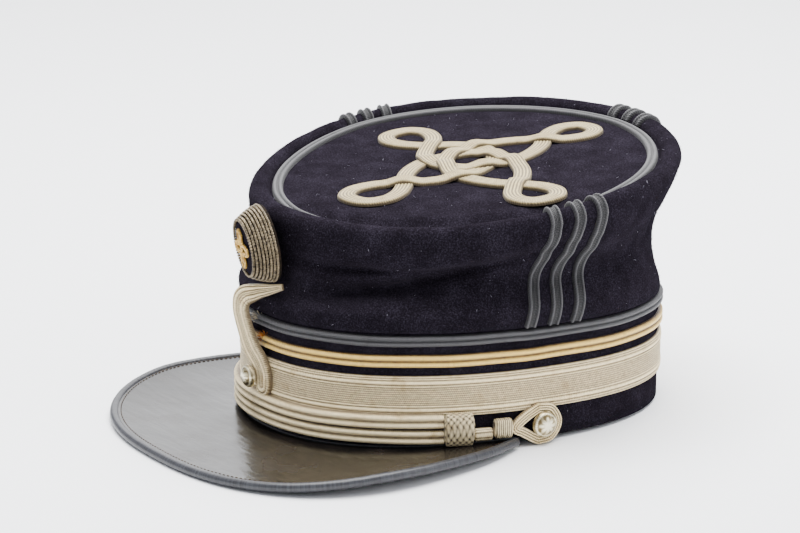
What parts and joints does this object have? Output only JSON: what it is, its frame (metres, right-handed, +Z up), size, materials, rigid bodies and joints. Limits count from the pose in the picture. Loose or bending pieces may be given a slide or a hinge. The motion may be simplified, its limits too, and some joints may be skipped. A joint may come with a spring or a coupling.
{
  "type": "kepi cap",
  "caption": "Full-dress kepi with a soft navy crown and sunk top, braided trimmings and knot, patent leather peak, chin cord, side buttons and a wound cockade.",
  "frame": {"origin": "middle of the bounding box's bottom face, on the surface that the cap rests on", "axes": "-Y is the way the peak points, +X is the wearer's left, +Z is up; the cap rests leaned forward by about one and a half degrees"},
  "size_m": [0.2042, 0.2773, 0.1259],
  "materials": {
    "navy_wool": "soft felted navy-black wool",
    "silver_lace": "silver thread lace and flat braid, slightly aged",
    "gold_braid": "gold thread braid with two ridges",
    "grey_braid": "dark grey silky braid with two ridges",
    "patent_leather": "black patent leather, glossy, finely crazed",
    "silver_wire": "tarnished twisted silver wire over thread",
    "gold_wire": "gold bullion wire",
    "button_metal": "pale silvered brass, worn"
  },
  "bodies": {
    "root": {"band": "navy_wool", "braid_back_1": "grey_braid", "braid_back_2": "grey_braid", "braid_back_3": "grey_braid", "braid_left_1": "grey_braid", "braid_left_2": "grey_braid", "braid_left_3": "grey_braid", "braid_right_1": "grey_braid", "braid_right_2": "grey_braid", "braid_right_3": "grey_braid", "button_loop_left": "silver_lace", "button_loop_right": "silver_lace", "chin_cord_lower": "silver_lace", "chin_cord_upper": "silver_lace", "cockade": "silver_wire", "cockade_face": "navy_wool", "cockade_motif": "gold_wire", "crown_side": "navy_wool", "front_button": "button_metal", "front_loop": "silver_lace", "gold_braid": "gold_braid", "grey_braid": "grey_braid", "lace_band": "silver_lace", "peak": "patent_leather", "peak_binding": "patent_leather", "side_button_left": "button_metal", "side_button_right": "button_metal", "slide_left": "silver_wire", "slide_right": "silver_wire", "strand_left": "silver_lace", "strand_right": "silver_lace", "top_braid": "grey_braid", "top_disc": "navy_wool", "top_knot": "silver_lace", "whipping_left": "silver_wire", "whipping_right": "silver_wire"}
  },
  "joints": []
}
